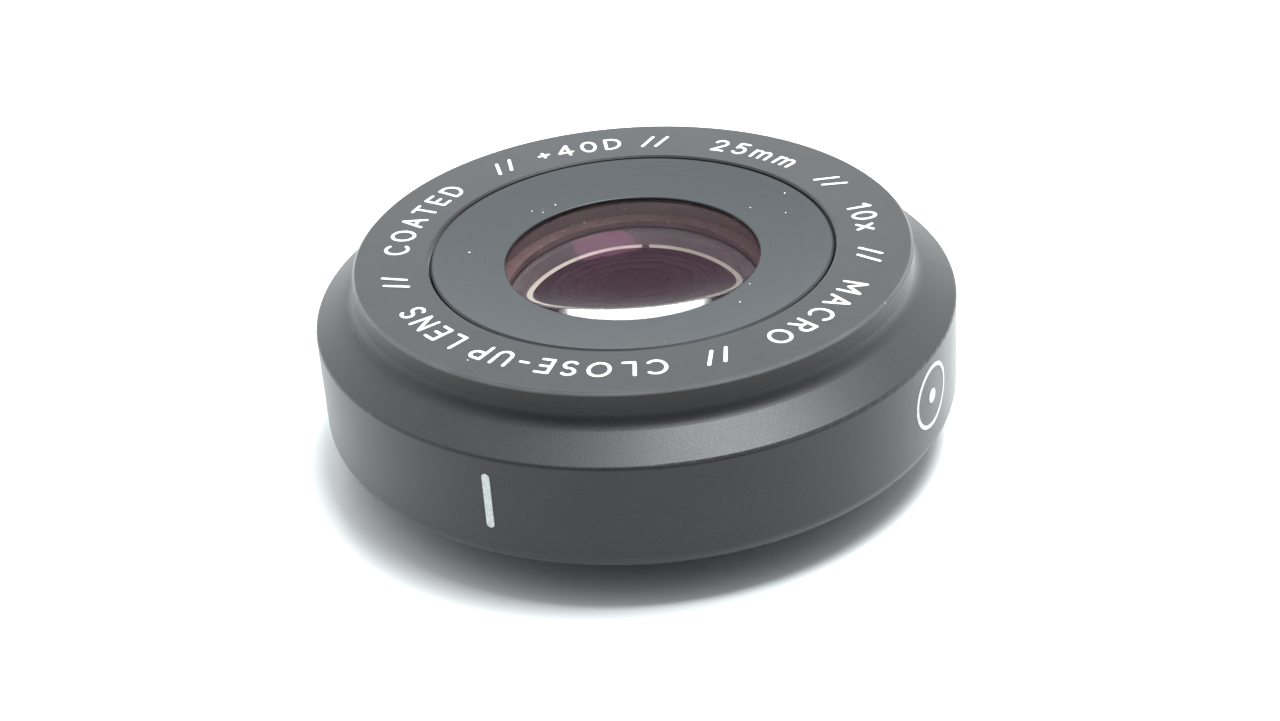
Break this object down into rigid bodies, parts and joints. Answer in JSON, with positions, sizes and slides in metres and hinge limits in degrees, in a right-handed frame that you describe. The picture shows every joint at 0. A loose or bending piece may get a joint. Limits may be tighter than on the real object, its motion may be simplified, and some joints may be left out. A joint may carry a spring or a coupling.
{
  "type": "close-up lens",
  "caption": "Round flat twist-on close-up lens for a phone case, with a grooved front ring, cone shoulder, coated glass and quarter-turn rear boss.",
  "frame": {"origin": "centre of the rear boss's end face, on the optical axis", "axes": "+Z along the optical axis, out of the front glass; -Y is the side with the index mark, 27 degrees round towards -X"},
  "size_m": [0.036, 0.036, 0.0117],
  "materials": {
    "black_anodised": "fine bead-blasted, black anodised, satin",
    "disc_anodised": "finely grooved on the lathe, black anodised with a faint blue cast",
    "cell_black": "matte black anodised",
    "mount_black": "turned and black anodised, worn a little at the lugs",
    "coated_glass": "polished, purple anti-reflection coating, edges inked",
    "seal_rubber": "matte",
    "pad_rubber": "soft matte silicone",
    "shim_brass": "rolled",
    "screw_steel": "blackened",
    "pin_steel": "ground",
    "spring_steel": "drawn wire",
    "white_fill": "white paint rubbed into the engraving"
  },
  "bodies": {
    "body": {"body_shell": "black_anodised", "front_disc": "disc_anodised", "front_seal": "seal_rubber", "front_element": "coated_glass", "rear_element": "coated_glass", "lens_cell": "cell_black", "cell_gasket": "seal_rubber", "rear_seal": "seal_rubber", "rear_baffle": "cell_black", "bayonet_mount": "mount_black", "mount_shim": "shim_brass", "mount_screws": "screw_steel", "clocking_pins": "pin_steel", "stop_pin": "pin_steel", "detent_spring": "spring_steel", "seat_pad": "pad_rubber", "index_mark": "white_fill", "side_emblem": "white_fill", "ring_marks": "white_fill"},
    "detent": {"detent_pin": "pin_steel"}
  },
  "joints": [
    {"name": "detent_press", "type": "slide", "parent": "body", "child": "detent", "axis": [0, 0, 1], "range_m": [0, 0.0005], "stiffness_N_per_m": 900, "springref_m": -0.0006, "deforming": ["detent_spring"]}
  ]
}
